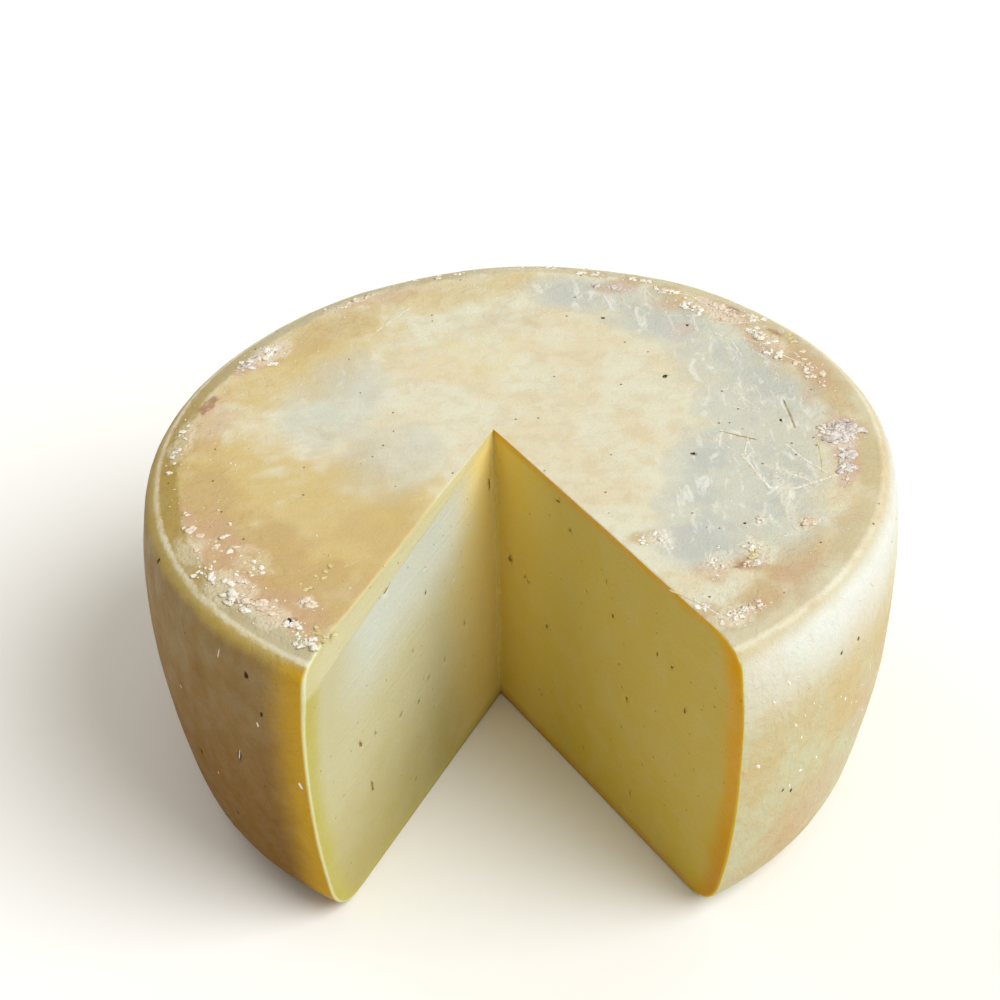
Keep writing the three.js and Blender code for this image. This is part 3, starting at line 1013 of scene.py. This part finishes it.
# Small holes: (side, distance from the apex, height, up, along, deep, turn) on the cuts, and
# (bearing, share or height, first, second, deep, turn) on the rind, in millimetres and degrees
eyes = dict(
    cuts=[(-1, 82, 109.2, 1.3, 3.2, 3, 20), (-1, 103.5, 59.8, 3.2, 1.4, 3, 25),
          (-1, 97.9, 36.5, 5.0, 1.2, 3, 8), (-1, 4.5, 99.8, 5.0, 1.2, 3, 0),
          (-1, 55, 88, 1.6, 1.0, 2, 0), (-1, 63, 46, 1.4, 1.4, 2, 0), (1, 8.8, 69.3, 2.6, 2.2, 2.4, 0),
          (1, 40.5, 114, 0.9, 2.6, 2, -12), (1, 73.5, 87, 1.8, 1.2, 2, 15), (1, 33, 55, 1.6, 1.1, 2, 0),
          (1, 99, 88.6, 1.7, 1.0, 2, 0), (1, 107, 88.7, 1.3, 1.2, 2, 0), (1, 82, 57, 1.6, 1.1, 2, 20),
          (1, 114.7, 76, 2.0, 1.0, 2, 0), (1, 48, 106.7, 1.2, 1.5, 2, 0)],
    scattered=24,
    slits=[(5.5, 0.728, 0.55, 19, 0.4, -2), (-0.5, 0.577, 13, 0.55, 0.4, -28)],
    top=[(65.3, 0.669, 1.2, 1.6, 1.6, 0), (35, 0.513, 2.2, 1.6, 2.4, 30),
         (-9.3, 0.456, 1.8, 1.4, 2.0, 0), (46.6, 0.744, 1.2, 1.2, 1.5, 0),
         (-132.6, 0.864, 3.8, 1.3, 2.2, 60), (-35, 0.66, 1.0, 1.0, 1.4, 0),
         (4, 0.70, 0.9, 1.6, 1.3, 0)],
    side=[(-161.4, 110.7, 2.0, 1.6, 2.2, 0), (-134.7, 103.2, 2.6, 2.2, 3.0, 0),
          (-131.8, 91.6, 2.2, 1.2, 2, 0), (-137.7, 66.4, 4.2, 1.6, 2.4, 10), (-37, 94, 1.6, 1.2, 2, 0),
          (-41.8, 95.4, 1.2, 1.2, 1.8, 0), (-50.8, 49.5, 1.6, 1.1, 2, 0),
          (-52.8, 52.6, 1.1, 1.1, 1.6, 0), (-150, 48, 1.4, 1.8, 2, 0), (-143, 30, 1.8, 1.0, 2, 20),
          (20, 70, 1.8, 1.3, 2, 0), (75, 44, 1.6, 1.6, 2, 0), (140, 82, 2.0, 1.2, 2, 0)],
)


def carve(target, lumps, material, name):
    points, faces = gather(lumps)
    cutter = makeObject(name, points, faces, [material])
    modifier = target.modifiers.new("carve", "BOOLEAN")
    modifier.operation = "DIFFERENCE"
    modifier.solver = "EXACT"
    modifier.material_mode = "TRANSFER"
    modifier.object = cutter
    depsgraph = bpy.context.evaluated_depsgraph_get()
    carved = bpy.data.meshes.new_from_object(target.evaluated_get(depsgraph))
    target.modifiers.clear()
    old = target.data
    target.data = carved
    bpy.data.meshes.remove(old)
    bpy.data.objects.remove(cutter)


def holes(rows, placeOfRow, sink, seed):
    # one cutter for each row, whose last four entries are its two widths, its depth and its turn
    return [lump(placeOfRow(row), tuple(v * mm for v in row[-4:-1]), row[-1], sink * mm, seed=seed + n)
            for n, row in enumerate(rows)]


random.seed(7)
cutEyes = holes(eyes["cuts"], lambda row: onCut(row[0], row[1] * mm, row[2] * mm), 0.4, 0)
for n in range(eyes["scattered"]):
    side = random.choice((1, 1, -1))
    size = random.uniform(0.4, 0.9) * mm
    place = onCut(side, random.uniform(12, 122) * mm, random.uniform(10, 112) * mm)
    cutEyes.append(lump(place, (size * random.uniform(0.8, 2.0), size, 1.4 * size), random.uniform(-40, 40),
                        0.1 * mm, detail=2, seed=20 + n))
rindPits = holes(eyes["top"], lambda row: onTop(row[0], row[1]), 0.1, 40)
rindPits += holes(eyes["side"], lambda row: onSide(row[0], row[1] * mm), 0.2, 60)
slits = holes(eyes["slits"], lambda row: onTop(row[0], row[1]), 0.05, 90)
carve(cheese, cutEyes, eyeLining, "eyeCutter")
carve(cheese, rindPits, pitLining, "pitCutter")
carve(cheese, slits, strawCrust, "slitCutter")
paintMasks(cheese)
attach(cheese, "root")
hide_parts("cheese_wheel")
print("carved:", len(cheese.data.polygons), "faces")


crustFinish = dict(chalk=chalkCrust, rose=roseCrust, lilac=lilacCrust, straw=strawCrust)
grainsByFinish = {name: [] for name in crustFinish}


def placeNear(place, u, v):
    # the spot on the top that is u outwards and v round from another
    spot = place[0] + place[1] * u + place[2] * v
    away = spot[:2] - axis
    return onTop(math.degrees(math.atan2(away[1], away[0])), np.hypot(*away) / wheel["radius"])


def addFlake(finish, place, long, width, turn, rough=0.9, sink=0.12):
    thick = 0.22 * width + 0.16 * mm
    grainsByFinish[finish].append(lump(place, (long, width, thick), turn, sink * thick, rough, 2,
                                       random.uniform(0, 50)))


scatter = dict(
    flakeSpread=0.55,                 # of a crust's own size
    crumbSpread=0.95,                 # its fine crumbs lie wider
    scrapeStep=0.9 * mm,
    scrapeFlake=2.8 * mm,
    stray=260,                        # crumbs, most of them near the rim
    strayBearings=(-60, 236),
    strayShare=(0.92, 0.16),
    flecks=150,                       # on the side
    fleckBearings=(-58, 236),
    fleckHeights=(12, 112, 80),       # lowest, highest and commonest, in millimetres
    fleckLengths=(0.8, 3.2, 1.2),
    fleckTurn=(-28, 16),
    brownFrom=185,                    # past this bearing the side is painted brown, partly as painted shade, and fewer flecks show
    brownSkips=0.75,
    sink=0.03 * mm,
    # placed flecks, as rows of (bearing, height, length), then their width, thickness, turn and detail
    placed=[(((-53.4, 99.4, 3.4), (-58.4, 71, 3.0), (-49.3, 56.5, 2.6), (-51.6, 79.8, 2.6)),
             1.1, 0.4, -28, 2),
            (((-140.7, 104.6, 4.0), (-137.7, 67, 4.5)), 0.4, 0.25, 12, 3)],
)
for finish, bearing, share, first, second, flakes, size, turn in crusts:
    middle = onTop(bearing, share)
    c, s = math.cos(math.radians(turn)), math.sin(math.radians(turn))
    for g in range(flakes * 2):
        spread = scatter["flakeSpread" if g < flakes else "crumbSpread"]
        u, v = random.gauss(0, first * spread) * mm, random.gauss(0, second * spread) * mm
        width = (size * random.uniform(0.5, 1.55) if g < flakes else random.uniform(0.3, 0.8)) * mm
        place = placeNear(middle, u * c - v * s, u * s + v * c)
        addFlake(finish, place, width * random.uniform(0.9, 1.9), width, random.uniform(0, 180))
for finish, width, *stops in scrapes:
    for (b0, s0), (b1, s1) in zip(stops, stops[1:]):
        start, end = onTop(b0, s0)[0], onTop(b1, s1)[0]
        length = np.linalg.norm(end - start)
        parts = max(2, int(length / scatter["scrapeStep"]))
        for t in (np.arange(parts) + 0.5) / parts:
            spot = start + (end - start) * t - np.array([*axis, 0])
            bearing = math.atan2(spot[1], spot[0])
            place = onTop(math.degrees(bearing), np.hypot(spot[0], spot[1]) / wheel["radius"])
            way = math.degrees(math.atan2(end[1] - start[1], end[0] - start[0]) - bearing)
            across = width * random.uniform(0.5, 0.9) * mm
            addFlake(finish, place, scatter["scrapeFlake"], across, way + random.gauss(0, 6), 0.35, 0.3)
for n in range(scatter["stray"]):
    nearRim, inwards = scatter["strayShare"]
    place = onTop(random.uniform(*scatter["strayBearings"]), nearRim - abs(random.gauss(0, inwards)))
    addFlake(random.choice(("chalk", "chalk", "straw", "rose")), place, random.uniform(0.35, 0.9) * mm,
             random.uniform(0.3, 0.7) * mm, random.uniform(0, 180))
flecks = []


def addFleck(bearing, z, size, turn, detail, seed):
    flecks.append(lump(onSide(bearing, z * mm), size, turn, scatter["sink"], 0.6, detail, seed))


for n in range(scatter["flecks"]):
    bearing, z = random.uniform(*scatter["fleckBearings"]), random.triangular(*scatter["fleckHeights"])
    length = random.triangular(*scatter["fleckLengths"]) * mm
    if bearing > scatter["brownFrom"] and random.random() < scatter["brownSkips"]:
        continue
    addFleck(bearing, z, (length, 0.45 * length, 0.30 * mm), random.gauss(*scatter["fleckTurn"]), 2,
             random.uniform(0, 50))
for rows, width, thick, turn, detail in scatter["placed"]:
    for bearing, z, length in rows:
        addFleck(bearing, z, (length * mm, width * mm, thick * mm), turn, detail, bearing)


def addCrust(name, lumps, material):
    points, faces = gather(lumps)
    made = makeObject(name, points, faces, [material])
    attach(made, "root")
    return made


for finish, lumps in grainsByFinish.items():
    addCrust(finish + "_crust", lumps, crustFinish[finish])
addCrust("side_flecks", flecks, chalkCrust)
print("crusts:", sum(len(lumps) for lumps in grainsByFinish.values()), "grains,", len(flecks), "flecks")

# Floor, light and camera
studio = dict(
    aim=(-6.6 * mm, 0, 99 * mm),       # from the wheel's axis, on the floor
    turn=math.radians(-2.30),          # the camera stands this far round from the front
    rise=math.radians(36.04),
    distance=5.832,                    # in wheel radii
    roll=math.radians(-1.50),
    lens=78.91,
    key=dict(turn=math.radians(64), rise=math.radians(46), softness=math.radians(46), power=2.75,
             colour=(0.97, 0.985, 1.0)),
    back=dict(turn=math.radians(-140), rise=math.radians(35), softness=math.radians(30), power=0.5,
              colour=(1.0, 0.95, 0.86)),
    fill=0.50,
    fillColour=(1.0, 0.95, 0.84),
    floorReach=20,
    floorDrop=0.4 * mm,                # so that it never touches the base
)


def direction(turn, rise):
    # towards something that stands this far round from the front, and this high
    return Vector((math.sin(turn) * math.cos(rise), -math.cos(turn) * math.cos(rise), math.sin(rise)))


def addCamera():
    s = studio
    data = bpy.data.cameras.new("camera")
    data.lens, data.sensor_width = s["lens"], 36
    data.clip_start, data.clip_end = 0.05, 50
    made = bpy.data.objects.new("camera", data)
    scene.collection.objects.link(made)
    aim = Vector((axis[0] + s["aim"][0], axis[1] + s["aim"][1], s["aim"][2]))
    back = direction(s["turn"], s["rise"])
    facing = back.to_track_quat("Z", "Y").to_matrix().to_4x4()
    made.matrix_world = (Matrix.Translation(aim + back * s["distance"] * wheel["radius"])
                         @ facing @ Matrix.Rotation(s["roll"], 4, "Z"))
    scene.camera = made


def addLight(name, turn, rise, softness, power, colour):
    # a far soft box: softness is the angle that it fills
    data = bpy.data.lights.new(name, "SUN")
    data.energy, data.angle, data.color = power, softness, colour
    made = bpy.data.objects.new(name, data)
    scene.collection.objects.link(made)
    towards = direction(turn, rise)
    facing = towards.to_track_quat("Z", "Y").to_matrix().to_4x4()
    made.matrix_world = Matrix.Translation(towards * 3) @ facing


def addFloor():
    made, tree, shader = newMaterial("studioFloor", Roughness=0.8)
    where = placeOf(tree)
    tree.links.new(mixColour(tree, noiseOf(tree, where, 3, 2), paint(247, 247, 246), paint(244, 244, 243)),
                   shader.inputs["Base Color"])
    far, drop = studio["floorReach"], studio["floorDrop"]
    corners = [(x * far, y * far, -drop) for x, y in ((-1, -1), (1, -1), (1, 1), (-1, 1))]
    makeObject("floor", corners, [(0, 1, 2, 3)], [made], smooth=False)


def lightWorld():
    # the eye sees a pale backdrop, and the cheese is filled by a weak warm light
    world = bpy.data.worlds.new("studio")
    world.use_nodes = True
    tree = world.node_tree
    background = tree.nodes["Background"]
    rays = addNode(tree, "LightPath").outputs["Is Camera Ray"]
    fill = [c * studio["fill"] for c in studio["fillColour"]] + [1]
    tree.links.new(mixColour(tree, rays, fill, paint(250, 250, 249)), background.inputs["Color"])
    scene.world = world


addCamera()
addFloor()
lightWorld()
addLight("keyLight", **studio["key"])
addLight("backLight", **studio["back"])
scene.view_settings.view_transform = "Standard"
print("studio ready")
